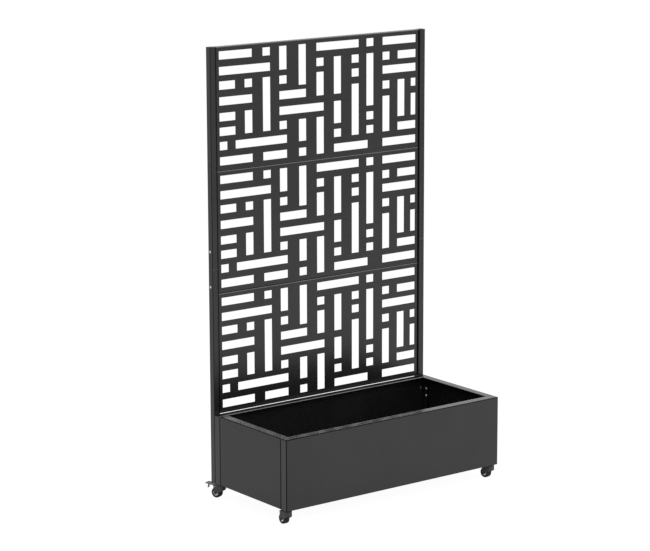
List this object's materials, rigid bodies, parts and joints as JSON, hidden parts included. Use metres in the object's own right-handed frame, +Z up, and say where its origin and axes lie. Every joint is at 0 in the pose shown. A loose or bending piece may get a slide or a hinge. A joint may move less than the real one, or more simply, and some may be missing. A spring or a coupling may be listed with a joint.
{
  "type": "planter with privacy screen",
  "caption": "Rolling box planter of folded steel sheet with a tall cut-out lattice screen on two posts behind it and braked rear casters.",
  "frame": {"origin": "middle of the footprint, on the floor", "axes": "+X to the right, +Y to the back (the screen stands behind the planter), +Z up"},
  "size_m": [1.172, 0.5726, 1.9192],
  "materials": {
    "charcoal": "matt powder coat",
    "screen": "matt powder coat",
    "zinc": "zinc plated",
    "plug": "matt",
    "fork": "satin",
    "pedal": "satin",
    "tyre": "matt",
    "hub": "matt"
  },
  "bodies": {
    "planter_and_screen": {"back_wall": "charcoal", "caster_front_left_stem": "zinc", "caster_front_left_washer": "zinc", "caster_front_right_stem": "zinc", "caster_front_right_washer": "zinc", "caster_rear_left_stem": "zinc", "caster_rear_left_washer": "zinc", "caster_rear_right_stem": "zinc", "caster_rear_right_washer": "zinc", "caster_stem_nuts": "zinc", "end_wall_left": "charcoal", "end_wall_right": "charcoal", "floor_tray": "charcoal", "front_wall": "charcoal", "panel_joint_bolts": "zinc", "panel_joint_nuts": "zinc", "panel_side_screws": "zinc", "panel_top_screws": "zinc", "post_cap_left": "plug", "post_cap_right": "plug", "post_foot_plug_left": "plug", "post_foot_plug_right": "plug", "post_lower_left": "charcoal", "post_lower_right": "charcoal", "post_screws": "zinc", "post_upper_left": "charcoal", "post_upper_right": "charcoal", "screen_panel_bottom": "screen", "screen_panel_middle": "screen", "screen_panel_top": "screen", "splice_screws": "zinc", "splice_sleeve_left": "zinc", "splice_sleeve_right": "zinc", "wall_nuts": "zinc"},
    "caster_front_left_swivel": {"caster_front_left_axle": "zinc", "caster_front_left_axle_nut": "zinc", "caster_front_left_fork": "fork"},
    "caster_front_left_wheel": {"caster_front_left_hub": "hub", "caster_front_left_tyre": "tyre"},
    "caster_front_right_swivel": {"caster_front_right_axle": "zinc", "caster_front_right_axle_nut": "zinc", "caster_front_right_fork": "fork"},
    "caster_front_right_wheel": {"caster_front_right_hub": "hub", "caster_front_right_tyre": "tyre"},
    "caster_rear_left_swivel": {"caster_rear_left_axle": "zinc", "caster_rear_left_axle_nut": "zinc", "caster_rear_left_brake_pin": "zinc", "caster_rear_left_fork": "fork"},
    "caster_rear_left_wheel": {"caster_rear_left_hub": "hub", "caster_rear_left_tyre": "tyre"},
    "caster_rear_right_swivel": {"caster_rear_right_axle": "zinc", "caster_rear_right_axle_nut": "zinc", "caster_rear_right_brake_pin": "zinc", "caster_rear_right_fork": "fork"},
    "caster_rear_right_wheel": {"caster_rear_right_hub": "hub", "caster_rear_right_tyre": "tyre"},
    "caster_rear_left_pedal": {"caster_rear_left_brake_pedal": "pedal"},
    "caster_rear_right_pedal": {"caster_rear_right_brake_pedal": "pedal"}
  },
  "joints": [
    {"name": "caster_front_left_swivels", "type": "hinge", "parent": "planter_and_screen", "child": "caster_front_left_swivel", "pos_m": [-0.5475, -0.25861, 0.064], "axis": [0, 0, 1], "continuous": true},
    {"name": "caster_front_left_wheel_turns", "type": "hinge", "parent": "caster_front_left_swivel", "child": "caster_front_left_wheel", "pos_m": [-0.5475, -0.23861, 0.0225], "axis": [1, 0, 0], "continuous": true},
    {"name": "caster_front_right_swivels", "type": "hinge", "parent": "planter_and_screen", "child": "caster_front_right_swivel", "pos_m": [0.5475, -0.25861, 0.064], "axis": [0, 0, 1], "continuous": true},
    {"name": "caster_front_right_wheel_turns", "type": "hinge", "parent": "caster_front_right_swivel", "child": "caster_front_right_wheel", "pos_m": [0.54472, -0.23881, 0.0225], "axis": [0.9903, 0.1392, 0], "continuous": true},
    {"name": "caster_rear_left_swivels", "type": "hinge", "parent": "planter_and_screen", "child": "caster_rear_left_swivel", "pos_m": [-0.5475, 0.21289, 0.064], "axis": [0, 0, 1], "continuous": true},
    {"name": "caster_rear_left_wheel_turns", "type": "hinge", "parent": "caster_rear_left_swivel", "child": "caster_rear_left_wheel", "pos_m": [-0.55434, 0.23168, 0.0225], "axis": [0.9397, 0.342, 0], "continuous": true},
    {"name": "caster_rear_left_brake_pedal_tips", "type": "hinge", "parent": "caster_rear_left_swivel", "child": "caster_rear_left_pedal", "pos_m": [-0.55451, 0.23215, 0.051], "axis": [0.9397, 0.342, 0], "range_deg": [-18, 0]},
    {"name": "caster_rear_right_swivels", "type": "hinge", "parent": "planter_and_screen", "child": "caster_rear_right_swivel", "pos_m": [0.5475, 0.21289, 0.064], "axis": [0, 0, 1], "continuous": true},
    {"name": "caster_rear_right_wheel_turns", "type": "hinge", "parent": "caster_rear_right_swivel", "child": "caster_rear_right_wheel", "pos_m": [0.55434, 0.23168, 0.0225], "axis": [0.9397, -0.342, 0], "continuous": true},
    {"name": "caster_rear_right_brake_pedal_tips", "type": "hinge", "parent": "caster_rear_right_swivel", "child": "caster_rear_right_pedal", "pos_m": [0.55451, 0.23215, 0.051], "axis": [0.9397, -0.342, 0], "range_deg": [-18, 0]}
  ]
}
